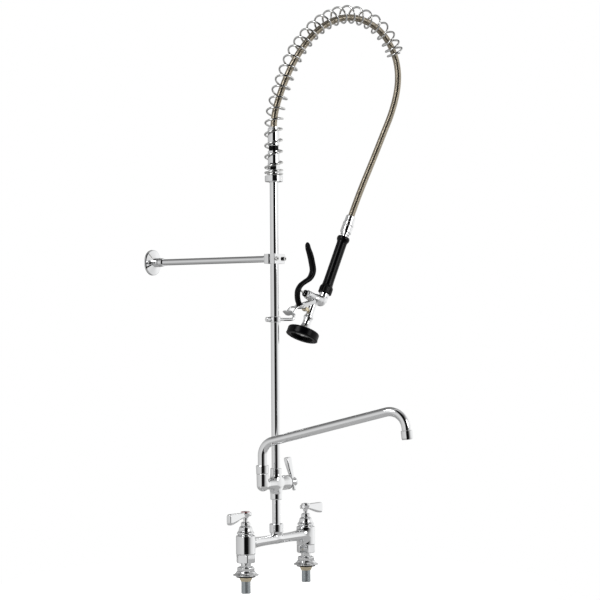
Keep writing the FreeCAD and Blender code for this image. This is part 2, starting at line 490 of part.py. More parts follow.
for i in range(4):
    a = pi / 4 + i * pi / 2
    post = post.fuse(rod(1.4, V(3.6 * cos(a), 3.6 * sin(a), -76), V(15 * cos(a), 15 * sin(a), -73.4))
                     .cut(bell))
save("spray_face", held(face.fuse(post).translated(V(NECK_U, 0, 0))))
save("face_screw", held(cyl(2.0, -81.6, -76).fuse(spun([(0, -83.4), (2.6, -83.2), (3.8, -81.6),
                                                        (0, -81.6)])).translated(V(NECK_U, 0, 0))))
save("pivot_pin", held(rod(PIN_R, V(PIVOT_U, -13.4, PIVOT_W), V(PIVOT_U, 13.4, PIVOT_W))))

lever_line = [(46, -32), (56, -22.5), (61.8, -11.6), (63.2, -2.4), (60.4, 8), (54, 17.5), (46.8, 27),
              (44, 36.6), (45.4, 47.3), (53.7, 59.9), (63.6, 72.1), (73, 81.4), (79, 90.3)]
bend = Part.BSplineCurve()
bend.interpolate([V(u, 0, w) for u, w in lever_line])
left, right = [], []
for k in range(61):
    q = bend.FirstParameter + (bend.LastParameter - bend.FirstParameter) * k / 60
    p, t = bend.value(q), bend.tangent(q)[0]
    side = V(t.z, 0, -t.x) * (LEVER_T / 2 * (1 - 0.25 * max(k - 44, 0) / 16))
    left.append(p + side)
    right.append(p - side)
one, two = Part.BSplineCurve(), Part.BSplineCurve()
one.interpolate(left)
two.interpolate(right[::-1])
profile = Part.Wire([one.toShape(), Part.LineSegment(left[-1], right[-1]).toShape(), two.toShape(),
                     Part.LineSegment(right[0], left[0]).toShape()])
half_lever = V(0, LEVER_W / 2, 0)
eye, tip_eye = V(PIVOT_U, 0, PIVOT_W), V(79, 0, 90.3)
squeeze = Part.Face(profile).extrude(half_lever * 2).translated(half_lever * -1)
squeeze = squeeze.fuse(rod(4.9, eye - half_lever, eye + half_lever))
squeeze = squeeze.fuse(rod(3.3, tip_eye - half_lever, tip_eye + half_lever))
pin_hole = rod(PIN_R + 0.05, eye - V(0, 16, 0), eye + V(0, 16, 0))
save("spray_lever", held(squeeze.cut(pin_hole)))

plate = Part.makeBox(16.0, 31.0, 2.0, V(-8, -15.5, -1))
plate = plate.makeFillet(3.0, [e for e in plate.Edges if abs(e.tangentAt(0).z) > 0.99])
plate.rotate(V(0, 0, 0), Y, -17.0)
hold_down = plate.translated(V(65.3, 0, -54.9))
for n in (-RING_N, RING_N):
    side, half_eye = V(0, n, 0), V(0, 1.9, 0)
    leg = [eye + side + V(1.5, 0, -2), side + V(56, 0, -39), side + V(62.5, 0, -47), side + V(63.6, 0, -55)]
    hold_down = hold_down.fuse(piped(rounded(leg), RING_R))
    hold_down = hold_down.fuse(rod(4.0, eye + side - half_eye, eye + side + half_eye))
save("hold_down_ring", held(hold_down.cut(pin_hole)))
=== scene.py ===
import bpy
import bmesh
import json
import math
import numpy as np
from mathutils import Matrix, Vector


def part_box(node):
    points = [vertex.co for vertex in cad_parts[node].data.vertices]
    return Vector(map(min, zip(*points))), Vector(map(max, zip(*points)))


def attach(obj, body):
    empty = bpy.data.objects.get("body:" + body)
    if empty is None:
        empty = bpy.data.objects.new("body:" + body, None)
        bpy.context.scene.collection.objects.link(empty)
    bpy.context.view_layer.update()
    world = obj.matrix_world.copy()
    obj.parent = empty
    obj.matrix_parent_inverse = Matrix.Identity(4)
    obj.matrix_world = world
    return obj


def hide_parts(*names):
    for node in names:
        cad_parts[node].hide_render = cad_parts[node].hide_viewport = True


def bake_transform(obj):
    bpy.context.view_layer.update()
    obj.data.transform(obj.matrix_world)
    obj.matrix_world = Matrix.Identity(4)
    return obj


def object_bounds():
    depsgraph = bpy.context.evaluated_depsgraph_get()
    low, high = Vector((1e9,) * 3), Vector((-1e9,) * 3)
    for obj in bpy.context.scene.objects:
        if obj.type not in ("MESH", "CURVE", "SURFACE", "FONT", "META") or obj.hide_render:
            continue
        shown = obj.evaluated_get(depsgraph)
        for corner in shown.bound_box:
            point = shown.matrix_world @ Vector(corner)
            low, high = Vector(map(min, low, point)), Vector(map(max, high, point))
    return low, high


# Pre-rinse faucet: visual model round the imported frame. Metres, +Z up; MM turns millimetres into them.
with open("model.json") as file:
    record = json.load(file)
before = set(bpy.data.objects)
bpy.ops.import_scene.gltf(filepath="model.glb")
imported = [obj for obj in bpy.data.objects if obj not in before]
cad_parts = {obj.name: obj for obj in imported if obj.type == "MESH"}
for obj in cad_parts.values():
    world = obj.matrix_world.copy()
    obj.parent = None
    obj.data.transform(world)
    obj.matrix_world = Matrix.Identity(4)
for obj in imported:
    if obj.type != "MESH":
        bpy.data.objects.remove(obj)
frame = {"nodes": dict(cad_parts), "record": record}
cad_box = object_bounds()
nodes, D = frame["nodes"], bpy.data
V = Vector
MM = 0.001
UP = V((0, 0, 1))
TAU = 2 * math.pi

# ---- view ------------------------------------------------------------------
VIEW_AZ = math.radians(-55.5)       # heading of the camera's right-hand side
VIEW_DIST, VIEW_HEIGHT, VIEW_ASIDE = 3.8, 0.470, 0.0489
FOCAL_PX, ROLL, RISE = 1950.0, 0.0070, 30.0
right = V((math.cos(VIEW_AZ), math.sin(VIEW_AZ), 0))
back = V((math.sin(VIEW_AZ), -math.cos(VIEW_AZ), 0))

cam = D.objects.new("camera", D.cameras.new("camera"))
bpy.context.scene.collection.objects.link(cam)
cam.data.sensor_width = 36.0
cam.data.lens = FOCAL_PX / 600 * 36.0
cam.data.shift_y = RISE / 600
cam.data.clip_end = 50
cam_x = right * math.cos(ROLL) - UP * math.sin(ROLL)
cam_y = UP * math.cos(ROLL) + right * math.sin(ROLL)
stand = back * VIEW_DIST + right * VIEW_ASIDE + UP * VIEW_HEIGHT
cam.matrix_world = Matrix.Translation(stand) @ Matrix((cam_x, cam_y, back)).transposed().to_4x4()
bpy.context.scene.camera = cam
bpy.context.scene.view_settings.view_transform = "Standard"


# ---- node helpers ----------------------------------------------------------
class Tree:
    """Short way to add and link shader nodes."""

    def __init__(self, tree):
        self.t = tree
        self.t.nodes.clear()

    def add(self, kind, links=None, **values):
        n = self.t.nodes.new(kind)
        for key, value in values.items():
            if hasattr(n, key):
                setattr(n, key, value)
            else:
                n.inputs[key.replace("_", " ")].default_value = value
        for key, source in (links or {}).items():
            self.t.links.new(source, n.inputs[key])
        return n

    def math(self, op, *terms):
        n = self.t.nodes.new("ShaderNodeMath")
        n.operation = op
        for socket, term in zip(n.inputs, terms):
            if isinstance(term, (int, float)):
                socket.default_value = term
            else:
                self.t.links.new(term, socket)
        return n.outputs[0]

    def ramp(self, fac, stops):
        n = self.t.nodes.new("ShaderNodeValToRGB")
        els = n.color_ramp.elements
        while len(els) < len(stops):
            els.new(0.5)
        for e, (p, col) in zip(els, stops):
            e.position = p
            e.color = (col, col, col, 1) if isinstance(col, (int, float)) else (*col, 1)
        self.t.links.new(fac, n.inputs[0])
        return n.outputs[0]


# ---- studio: white room with the dark card that chrome needs ---------------
def turned(angle):
    """Place on a ramp of a heading in degrees, measured from the camera's own."""
    return 0.5 + angle / 360.0


world = D.worlds.new("studio")
bpy.context.scene.world = world
world.use_nodes = True
w = Tree(world.node_tree)
coords = w.add("ShaderNodeTexCoord")
axes = w.add("ShaderNodeSeparateXYZ", {"Vector": coords.outputs["Generated"]})
dx, dy, dz = axes.outputs
along_right = w.math("ADD", w.math("MULTIPLY", dx, right.x), w.math("MULTIPLY", dy, right.y))
along_back = w.math("ADD", w.math("MULTIPLY", dx, back.x), w.math("MULTIPLY", dy, back.y))
heading = w.math("ADD", w.math("DIVIDE", w.math("ARCTAN2", along_right, along_back), TAU), 0.5)
walls = w.ramp(heading, [(turned(a), level) for a, level in (
    (-180, 0.20), (-150, 0.32), (-125, 0.50), (-60, 0.60), (-24, 0.66), (-13, 0.004), (30, 0.004), (42, 0.14),
    (56, 0.36), (72, 0.66), (105, 0.84), (145, 0.92), (180, 0.30))])
height = w.math("DIVIDE", w.math("ARCSINE", dz), math.pi)
vert = w.ramp(w.math("ADD", height, 0.5), [
    (0.0, 0.50), (0.24, 0.55), (0.38, 0.75), (0.43, 1.0), (0.60, 1.0), (0.70, 0.70), (0.78, 0.30), (1.0, 0.80)])
seen = w.add("ShaderNodeLightPath")
cards = w.add("ShaderNodeBackground", {"Color": w.math("MULTIPLY", walls, vert)}, Strength=1.2)
paper = w.add("ShaderNodeBackground", Strength=1.0)
paper.inputs["Color"].default_value = (1, 1, 1, 1)
room = w.add("ShaderNodeMixShader")
for socket, source in zip(room.inputs, (seen.outputs["Is Camera Ray"], cards.outputs[0], paper.outputs[0])):
    w.t.links.new(source, socket)
w.add("ShaderNodeOutputWorld", {"Surface": room.outputs[0]})


def area_light(name, place, target, size, power):
    lamp = D.lights.new(name, "AREA")
    lamp.shape, lamp.size, lamp.energy = "DISK", size, power
    ob = D.objects.new(name, lamp)
    bpy.context.scene.collection.objects.link(ob)
    ob.location = place
    ob.rotation_euler = (target - place).to_track_quat("-Z", "Y").to_euler()


aim = V((0.05, 0, 0.55))
area_light("key", aim + back * 2.2 - right * 2.0 + UP * 2.0, aim, 1.6, 40)
area_light("fill", aim + back * 1.6 + right * 2.4 + UP * 0.8, aim, 1.4, 16)


# ---- materials -------------------------------------------------------------
def surface(name, colour, metallic, rough, spread, grain, bump, tint, **sockets):
    """Principled surface with fine tone, roughness and relief variation in object space."""
    m = D.materials.new(name)
    m.use_nodes = True
    t = Tree(m.node_tree)
    where = t.add("ShaderNodeTexCoord")
    broad = t.add("ShaderNodeTexNoise", {"Vector": where.outputs["Object"]}, Scale=grain / 12, Detail=3.0)
    fine = t.add("ShaderNodeTexNoise", {"Vector": where.outputs["Object"]}, Scale=grain, Detail=4.0)
    dark = [x * (1 - tint) for x in colour]
    tone = t.ramp(broad.outputs["Fac"], [(0.3, dark), (0.7, colour)])
    rougher = t.ramp(fine.outputs["Fac"], [(0.25, max(rough - spread, 0.01)), (0.75, rough + spread)])
    shader = t.add("ShaderNodeBsdfPrincipled", {"Base Color": tone, "Roughness": rougher}, Metallic=metallic)
    if bump:
        relief = t.add("ShaderNodeBump", {"Height": fine.outputs["Fac"]}, Strength=bump, Distance=0.0004)
        t.t.links.new(relief.outputs[0], shader.inputs["Normal"])
    for key, value in sockets.items():
        shader.inputs[key.replace("_", " ")].default_value = value
    t.add("ShaderNodeOutputMaterial", {"Surface": shader.outputs[0]})
    return m


MATS = {
    "chrome": surface("chrome", (0.84, 0.845, 0.85), 1.0, 0.04, 0.015, 90, 0.0, 0.02),
    "bright_steel": surface("bright_steel", (0.68, 0.68, 0.67), 1.0, 0.06, 0.03, 420, 0.0, 0.05),
    "hose_steel": surface("hose_steel", (0.42, 0.37, 0.29), 1.0, 0.20, 0.06, 500, 0.04, 0.22),
    "shank_steel": surface("shank_steel", (0.46, 0.50, 0.52), 1.0, 0.12, 0.04, 340, 0.0, 0.06),
    "brass": surface("brass", (0.84, 0.74, 0.54), 1.0, 0.24, 0.06, 300, 0.06, 0.12),
    "rubber": surface("rubber", (0.002, 0.002, 0.003), 0.0, 0.24, 0.03, 700, 0.0, 0.30,
                      Specular_IOR_Level=0.10),
    "grip_black": surface("grip_black", (0.002, 0.002, 0.003), 0.0, 0.24, 0.03, 620, 0.0, 0.30,
                          Specular_IOR_Level=0.16),
    "lever_black": surface("lever_black", (0.002, 0.002, 0.003), 0.0, 0.26, 0.03, 520, 0.0, 0.30,
                           Specular_IOR_Level=0.10),
    "nylon": surface("nylon", (0.82, 0.82, 0.79), 0.0, 0.45, 0.08, 500, 0.06, 0.06),
    "index_red": surface("index_red", (0.50, 0.02, 0.02), 0.0, 0.25, 0.06, 400, 0.04, 0.12),
    "index_blue": surface("index_blue", (0.03, 0.10, 0.40), 0.0, 0.25, 0.06, 400, 0.04, 0.12),
}
slots = {part["node"]: part["material_slot"] for part in frame["record"]["subparts"]}
for name, ob in nodes.items():
    ob.data.materials.clear()
    ob.data.materials.append(MATS[slots[name]])


# ---- mesh helpers ----------------------------------------------------------
def add_piece(name, parts, slot, body, *replaced, sharp=38):
    """One smooth-shaded piece from (points, faces) parts; it rides on a body and stands for CAD nodes."""
    points, faces = [], []
    for some, their_faces in parts:
        faces += [[i + len(points) for i in f] for f in their_faces]
        points += [tuple(p) for p in some]
    me = D.meshes.new(name)
    me.from_pydata(points, [], faces)
    bm = bmesh.new()
    bm.from_mesh(me)
    bmesh.ops.recalc_face_normals(bm, faces=bm.faces)
    bm.to_mesh(me)
    bm.free()
    me.polygons.foreach_set("use_smooth", [True] * len(me.polygons))
    me.set_sharp_from_angle(angle=math.radians(sharp))
    me.materials.append(MATS[slot])
    ob = D.objects.new(name, me)
    bpy.context.scene.collection.objects.link(ob)
    if body:
        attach(ob, body)
    if replaced:
        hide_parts(*replaced)
    return ob


def skin(rings, capped=True):
    """Points and faces of a surface through rings of equally many points."""
    n = len(rings[0])
    points = [p for ring in rings for p in ring]
    last = len(rings) if not capped else len(rings) - 1
    faces = []
    for i in range(last):
        a, b = i * n, (i + 1) % len(rings) * n
        faces += [(a + j, a + (j + 1) % n, b + (j + 1) % n, b + j) for j in range(n)]
    if capped:
        faces += [tuple(range(n)), tuple(range(len(points) - n, len(points)))]
    return points, faces


def softened(outline, radius, closed):
    """The outline with each corner turned into a small curve, held by a point on either side."""
    n, out = len(outline), []
    for i, (r, z) in enumerate(outline):
        if not closed and i in (0, n - 1):
            out.append((r, z))
            continue
        here, before, after = V((r, z)), V(outline[i - 1]), V(outline[(i + 1) % n])
        cut = min(radius, 0.34 * (before - here).length, 0.34 * (after - here).length)
        p, q = here + (before - here).normalized() * cut, here + (after - here).normalized() * cut
        out.append(tuple(here + (before - here).normalized() * cut * 1.35))
        out += [tuple(p * (1 - f) ** 2 + here * 2 * f * (1 - f) + q * f * f) for f in (0, 0.25, 0.5, 0.75, 1)]
        out.append(tuple(here + (after - here).normalized() * cut * 1.35))
    return out


def lathe(outline, origin=V((0, 0, 0)), axis=UP, steps=48, soft=0.4, form=None, closed=False):
    """Turned shape from (radius, height) in mm; form(r, z, a) may change the radius round the axis."""
    side = axis.orthogonal().normalized() if abs(axis.z) < 0.9999 else V((1, 0, 0))
    other = axis.cross(side).normalized()
    rings = []
    for r, z in softened(outline, soft, closed) if soft else outline:
        ring = []
        for k in range(steps):
            a = TAU * k / steps
            radius = form(r, z, a) if form else r
            ring.append(origin + (axis * z + (side * math.cos(a) + other * math.sin(a)) * radius) * MM)
        rings.append(ring)
    return skin(rings, not closed)


def flats(count, across_flats):
    """Form that cuts a turned shape back to a hexagon or another regular bar."""
    share = TAU / count

    def form(r, z, a):
        return min(r, across_flats / 2 / math.cos((a + share / 2) % share - share / 2))
    return form


def threads(pitch, depth, low, high):
    """Form that adds a V-thread between two heights."""
    def form(r, z, a):
        inside = min(max((z - low) / pitch, 0), 1) * min(max((high - z) / pitch, 0), 1)
        turn = (z / pitch - a / TAU) % 1.0
        return r - depth * inside * abs(2 * turn - 1)
    return form


def squared(half_a, half_b, power, steps=28):
    """Points of a rounded rectangle about zero, as pairs."""
    pts = []
    for k in range(steps):
        a = TAU * k / steps
        c, s = math.cos(a), math.sin(a)
        pts.append((half_a * math.copysign(abs(c) ** (2 / power), c),
                    half_b * math.copysign(abs(s) ** (2 / power), s)))
    return pts


def smooth_line(points, per):
    """A line of points through the given ones, with even tangents."""
    pts = [V(p) for p in points]
    ends = [pts[0] * 2 - pts[1]] + pts + [pts[-1] * 2 - pts[-2]]
    line = []
    for i in range(1, len(ends) - 2):
        a, b, c, d = ends[i - 1:i + 3]
        for k in range(per):
            f = k / per
            line.append(0.5 * (b * 2 + (c - a) * f + (a * 2 - b * 5 + c * 4 - d) * f * f
                               + (b * 3 - a - c * 3 + d) * f ** 3))
    return line + [pts[-1]]


def casting(field, low, high, cell):
    """Smooth quad surface where a distance-like field of points in mm is zero (surface nets)."""
    axes = [np.arange(a, b + cell, cell) for a, b in zip(low, high)]
    grid = np.stack(np.meshgrid(*axes, indexing="ij"), -1)
    value = field(grid)
    n = np.array(value.shape) - 1
    corner = [(i, j, k) for i in (0, 1) for j in (0, 1) for k in (0, 1)]

    def part(data, c):
        return data[c[0]:c[0] + n[0], c[1]:c[1] + n[1], c[2]:c[2] + n[2]]

    total, count = np.zeros((*n, 3)), np.zeros(n)
    for a in corner:
        for b in corner:
            if sum(b) - sum(a) == 1 and all(q >= p for p, q in zip(a, b)):
                fa, fb = part(value, a), part(value, b)
                cross = (fa < 0) != (fb < 0)
                share = np.where(cross, fa / np.where(cross, fa - fb, 1), 0)[..., None]
                total += np.where(cross[..., None], part(grid, a) * (1 - share) + part(grid, b) * share, 0)
                count += cross
    index = np.full(n, -1)
    index[count > 0] = np.arange(int((count > 0).sum()))
    points = total[count > 0] / count[count > 0][:, None]
    faces = []
    for axis in range(3):
        u, v = [i for i in range(3) if i != axis]
        inside = np.moveaxis(value < 0, (axis, u, v), (0, 1, 2))
        cells = np.moveaxis(index, (axis, u, v), (0, 1, 2))
        change = (inside[:-1] != inside[1:])[:, 1:-1, 1:-1]
        i, j, k = np.nonzero(change)
        faces.append(np.stack([cells[i, j, k], cells[i, j + 1, k], cells[i, j + 1, k + 1], cells[i, j, k + 1]], -1))
    for _ in range(4):
        here = field(points)
        slope = np.stack([field(points + step) - field(points - step) for step in np.eye(3) * 0.05], -1) / 0.1
        move = slope * (here / np.maximum((slope ** 2).sum(-1), 0.2))[:, None]
        points = points - np.clip(move, -0.4 * cell, 0.4 * cell)
    return points, np.concatenate(faces).tolist()


def rod_field(p, a, b, r, rb=None):
    """Distance to a round-ended rod from a to b, its radius going from r to rb."""
    a, b = np.array(a, float), np.array(b, float)
    t = np.clip(((p - a) @ (b - a)) / ((b - a) @ (b - a)), 0, 1)
    return np.linalg.norm(p - a - t[..., None] * (b - a), axis=-1) - (r + ((rb or r) - r) * t)


def plug_field(across_axis, along, r, low, high, edge=0.8):
    """Distance to a flat-ended cylinder with a rounded edge, from the radial and axial positions."""
    side, end = across_axis - r + edge, np.maximum(low - along, along - high) + edge
    return np.minimum(np.maximum(side, end), 0) + np.hypot(np.maximum(side, 0), np.maximum(end, 0)) - edge


def joined(a, b, k):
    """Union with a fillet of about k mm."""
    h = np.clip(0.5 + 0.5 * (b - a) / k, 0, 1)
    return b * (1 - h) + a * h - k * h * (1 - h)


# ---- places in the frame ---------------------------------------------------
AIM, LEAN = math.radians(-18.0), math.radians(24.0)
outward = V((math.cos(AIM), math.sin(AIM), 0))          # from the riser, in the plane of the hose
across = V((-math.sin(AIM), math.cos(AIM), 0))
head_at = outward * 0.117 + UP * 0.527                  # socket of the grip
u_dir = UP * math.sin(LEAN) - outward * math.cos(LEAN)  # from the grip towards the riser
w_dir = outward * math.sin(LEAN) + UP * math.cos(LEAN)  # up the grip
NECK_U, VALVE_W = 18.0, -3.0
ADD_Z = 0.171


def spray(u, w, n=0.0):
    """Point of the sprayer: u towards the riser, w up the grip, n across, in mm."""
    return head_at + (u_dir * u + w_dir * w + across * n) * MM


def middle(node):
    low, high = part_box(node)
    return (low + high) / 2


hot_x, cold_x = middle("stem_hot").x, middle("stem_cold").x

# ---- inlets ----------------------------------------------------------------
nut_flats = flats(6, 33.0)
NUT_TURN = 0.29                                         # heading of the coupling nuts' faces, radians
for side, x in (("hot", hot_x), ("cold", cold_x)):
    foot = V((x, 0, 0))
    add_piece("shank_" + side, [lathe(
        [(6.5, -31), (8.2, -31), (9.0, -30)] + [(9.0, -30 + 0.45 * i) for i in range(1, 135)]
        + [(9.0, 32), (6.5, 32)],
        foot, steps=40, soft=0, form=threads(1.8, 0.30, -29.5, 32), closed=True)],
        "shank_steel", "body", "inlet_shanks")
    add_piece("washer_" + side, [lathe(
        [(9, -8), (9.7, -8), (10.4, -5.4), (11.2, -5.2), (12.2, -2), (12.2, 0), (9, 0)], foot, closed=True,
        soft=0.3)], "brass", "body", "tapered_washers")
    add_piece("flange_" + side, [lathe(
        [(9, 3), (24.0, 3), (24.6, 3.8), (24.6, 4.8), (21.6, 6.2), (18.6, 9.0), (17.6, 11), (9, 11)], foot,
        steps=64, soft=0.5, closed=True)], "chrome", "body", "escutcheons")
    add_piece("lock_ring_" + side, [lathe(
        [(9, 11), (15.6, 11), (16.6, 12.4), (16.6, 17.6), (15.4, 19.2), (13.0, 20), (9, 20)], foot, steps=64,
        soft=0.5, form=lambda r, z, a: r - (0.5 if 12 < z < 18 and r > 16 else 0) * (0.5 + 0.5 * math.cos(16 * a)),
        closed=True)], "chrome", "body", "lock_rings")
    add_piece("nut_" + side, [lathe(
        [(9, 27), (16.2, 27), (19.1, 28.6), (19.1, 41.6), (16.6, 43), (13.3, 43), (13.3, 33), (9, 33)], foot,
        steps=96, soft=0.5, form=lambda r, z, a: nut_flats(r, z, a - NUT_TURN), closed=True)],
        "chrome", "body", "coupling_nuts")
    add_piece("shank_neck_" + side, [lathe(
        [(9.1, 19.5), (9.7, 20.1), (9.7, 26.6), (9.1, 27.2)], foot, soft=0.2, closed=True)], "chrome", "body")
    add_piece("bonnet_" + side, [lathe(
        [(11.5, 79), (13.4, 79), (13.8, 80.4), (16.3, 82.4), (16.3, 84.6), (13.6, 88.0), (12.6, 91.0),
         (12.1, 94.6), (9.8, 97), (6.5, 97), (6.5, 84), (11.5, 84)], foot, steps=64, soft=0.6, closed=True)],
        "chrome", "body", "bonnets")
    add_piece("gland_" + side, [lathe(
        [(4.06, 97), (8.2, 97), (8.8, 98.2), (8.8, 102.4), (7.2, 105), (4.06, 105)], foot, steps=72, soft=0.6,
        closed=True)], "chrome", "body", "packing_nuts")


# ---- castings --------------------------------------------------------------
def mixing_field(p):
    x, y, z = np.abs(p[..., 0]), p[..., 1], p[..., 2]
    barrel_r = np.hypot(x - 101.6, y)
    barrel = np.minimum(plug_field(barrel_r, z, 18.2, 43, 79, 0.9), plug_field(barrel_r, z, 13.2, 40, 50))
    bridge = np.hypot(y, z - 63) - (8.9 + 3.4 * np.clip((x - 30) / 60, 0, 1) ** 2.2)
    bridge = np.maximum(bridge * 0.96, x - 95)
    boss_r = np.hypot(p[..., 0], y)
    boss = plug_field(boss_r, z, 13.2, 76, 93, 1.2)
    foot = rod_field(p, (0, 0, 66), (0, 0, 76), 8.4, 11.6)
    solid = joined(joined(barrel, bridge, 7.0), joined(foot, boss, 2.0), 7.0)
    bores = [plug_field(barrel_r, z, 6.5, 38, 55, 0.3), plug_field(barrel_r, z, 11.5, 54, 81, 0.3),
             plug_field(boss_r, z, 7.75, 85, 95, 0.3)]
    return np.maximum(solid, -np.minimum.reduce(bores))


def addon_field(p):
    x, y, z = p[..., 0], p[..., 1], p[..., 2]
    from_x, from_z = np.hypot(y, z - 171), np.hypot(x, y)
    swell = np.interp(x, [-45, -32, -20, -8, 4, 14, 22, 28, 33, 38],
                      [8.6, 9.2, 10.2, 11.8, 12.4, 12.8, 13.8, 14.3, 14.2, 13.6])
    bar = np.maximum((from_x - swell) * 0.95, np.maximum(-42 - x, x - 38))
    socket_r = np.hypot(x + 45, y)
    socket = np.maximum(rod_field(p, (-45, 0, 170.6), (-45, 0, 200), 11.0, 11.6), z - 193)
    collars = joined(plug_field(from_z, z, 11.0, 140, 160, 1.2), plug_field(from_z, z, 10.8, 180, 201, 1.0), 0.1)
    waist = rod_field(p, (0, 0, 158), (0, 0, 184), 11.6, 11.2)
    solid = joined(joined(bar, socket, 7.0), joined(collars, waist, 2.5), 6.0)
    bores = [plug_field(from_z, z, 7.75, 139, 148, 0.3), plug_field(from_z, z, 8.15, 193, 202, 0.3),
             plug_field(from_x, x, 10.0, 12, 40, 0.3), plug_field(socket_r, z, 8.77, 177, 195, 0.3)]
    return np.maximum(solid, -np.minimum.reduce(bores))


def spray_field(p):
    u, n, w = p[..., 0], p[..., 1], p[..., 2]
    knuckle = rod_field(p, (3, 0, -1), (14, 0, -2.5), 10.6, 10.2)
    knuckle = joined(np.maximum(knuckle, w - 8), plug_field(np.hypot(u, n), w, 9.4, 0, 8, 0.8), 2.0)
    neck_r = np.hypot(u - 18, n)
    neck = np.maximum(rod_field(p, (18, 0, -44), (18, 0, -8), 7.0, 7.2), -40 - w)
    foot = plug_field(neck_r, w, 7.8, -40, -37, 0.6)
    barrel = plug_field(np.hypot(n, w + 3), u, 9.2, 8, 36, 1.0)
    flat = np.stack([u, np.zeros_like(u), w], -1)
    arm = np.maximum(rod_field(flat, (23, 0, -12), (46, 0, -32), 3.6, 4.2), np.abs(np.abs(n) - 7.7) - 1.2)
    solid = joined(joined(joined(knuckle, barrel, 3.0), joined(neck, foot, 1.0), 4.0), arm, 1.0)
    bores = [plug_field(np.hypot(u, n), w, 6.3, -6, 10, 0.3), plug_field(neck_r, w, 5.2, -42, -8, 0.3),
             plug_field(np.hypot(n, w + 3), u, 6.6, 16, 38, 0.3),
             plug_field(np.hypot(u - 46, w + 32), n, 2.0, -20, 20, 0.1)]
    return np.maximum(solid, -np.minimum.reduce(bores))


for name, field, low, high, cell, replaced in (
        ("mixing_casting", mixing_field, (-122, -20, 38), (122, 20, 96), 1.0, "mixing_body"),
        ("addon_casting", addon_field, (-60, -18, 138), (42, 18, 204), 1.0, "addon_body")):
    points, faces = casting(field, low, high, cell)
    add_piece(name, [(points * MM, faces)], "chrome", "body", replaced, sharp=180)
points, faces = casting(spray_field, (-11, -14, -43), (54, 14, 12), 0.75)
cast = [spray(u, w, n) for u, n, w in points.tolist()]
add_piece("spray_casting", [(cast, faces)], "chrome", "sprayer", "spray_body", sharp=180)
# Web between the sprayer's cheek plates, part of the chrome sprayer body, given the brass slot: its yellow tone is a
# painted reflection, not a brass part.
web = [[spray(31.5 + a, -31.5 + b, n) for a, b in squared(half, half * 0.85, 4.0)]
       for half, n in ((3.8, -6.2), (4.4, -5.6), (4.4, 5.6), (3.8, 6.2))]
add_piece("spray_web_painted_reflection", [skin(web)], "brass", "sprayer")

# ---- lever handles ---------------------------------------------------------
def lever_handle(name, body, origin, axis, way, hub, rim, blade, *replaced):
    """Cupped hub on an axis and a paddle that flares along another direction, from rows of blade stations."""
    thick = axis.cross(way).normalized()
    low, high = hub
    cup = lathe([(4.1, low), (5.0, low), (5.3, low + 3.5), (rim, high - 3.2), (rim, high), (rim - 2.4, high),
                 (rim - 2.6, high - 1.2), (4.1, high - 1.2)], origin, axis, soft=0.45, closed=True)
    rings = []
    for along, half, bottom, top in blade:
        mid, tall = (bottom + top) / 2, (top - bottom) / 2
        rings.append([origin + (way * along + axis * (mid + q) + thick * p) * MM
                      for p, q in squared(half, tall, 4.2)])
    tail = [[origin + (way * -along + axis * (mid + q) + thick * p) * MM for p, q in squared(half, tall, 3.0)]
            for along, half, mid, tall in ((3, 3.2, high - 5.6, 4.4), (10, 3.0, high - 5.3, 4.1),
                                           (15.5, 2.7, high - 5.2, 3.8), (17, 2.2, high - 5.2, 3.2),
                                           (17.5, 1.2, high - 5.2, 2.0))]
    add_piece(name, [cup, skin(rings), skin(tail)], "chrome", body, *replaced, sharp=50)


long_blade = [(4, 3.7, 113.6, 122.6), (12, 3.7, 112.4, 122.9), (21, 4.0, 109.6, 123.2), (32, 4.5, 106.2, 123.4),
              (43, 4.9, 103.4, 123.5), (49.4, 5.2, 102.6, 123.5), (52, 5.1, 102.7, 123.3), (53.4, 4.7, 103.3, 122.8),
              (54, 3.9, 104.4, 121.8)]
for side, x, way in (("hot", hot_x, V((-1, 0, 0))), ("cold", cold_x, V((1, 0, 0)))):
    foot = V((x, 0, 0))
    lever_handle("lever_" + side, side + "_handle", foot, UP, way, (109.5, 124.0), 8.7, long_blade,
                 "handle_" + side)
    inner, outer = {"hot": (7.2, 8.5), "cold": (3.4, 4.4)}[side]
    add_piece("index_" + side, [lathe([(inner, 123.0), (outer, 123.0), (outer, 124.4), (inner, 124.9)], foot, soft=0.25,
                                      closed=True)], {"hot": "index_red", "cold": "index_blue"}[side],
              side + "_handle", "index_screw_" + side)
    add_piece("cap_" + side, [lathe([(0.6, 118), (6.3, 118), (7.3, 123.4), (6.9, 124.6), (3.4, 125.5), (0.3, 125.6)],
                                    foot, soft=0.4)], "chrome", side + "_handle")

tilt = V((0, math.sin(math.radians(12.5)), math.cos(math.radians(12.5))))
short_blade = [(4, 3.6, 4.6, 13.2), (12, 3.6, 3.8, 13.5), (22, 4.0, 1.6, 13.9), (34, 4.7, -0.6, 14.2),
               (43, 5.2, -1.5, 14.4), (47, 5.1, -1.4, 14.2), (48.4, 4.6, -0.8, 13.6), (49, 3.8, 0.2, 12.6)]
hub_at = V((0.048, 0, ADD_Z))
lever_handle("lever_addon", "addon_lever", hub_at, V((1, 0, 0)), tilt, (0.0, 14.5), 8.7, short_blade,
             "addon_handle")
add_piece("cap_addon", [lathe([(0.6, 9), (5.0, 9), (6.4, 14.2), (5.8, 15.4), (3.0, 16.1), (0.3, 16.2)], hub_at,
                              V((1, 0, 0)), soft=0.4)], "chrome", "addon_lever", "addon_index_screw")

end_at = V((0.038, 0, ADD_Z))
add_piece("addon_bonnet_ring", [lathe(
    [(10, 1.6), (13.0, 1.6), (13.6, 2.2), (13.4, 3.4), (10.6, 5.6), (9.6, 8.2), (4.1, 8.2), (4.1, 4), (10, 4)],
    end_at, V((1, 0, 0)), soft=0.5, closed=True)],
          "chrome", "body", "addon_bonnet")
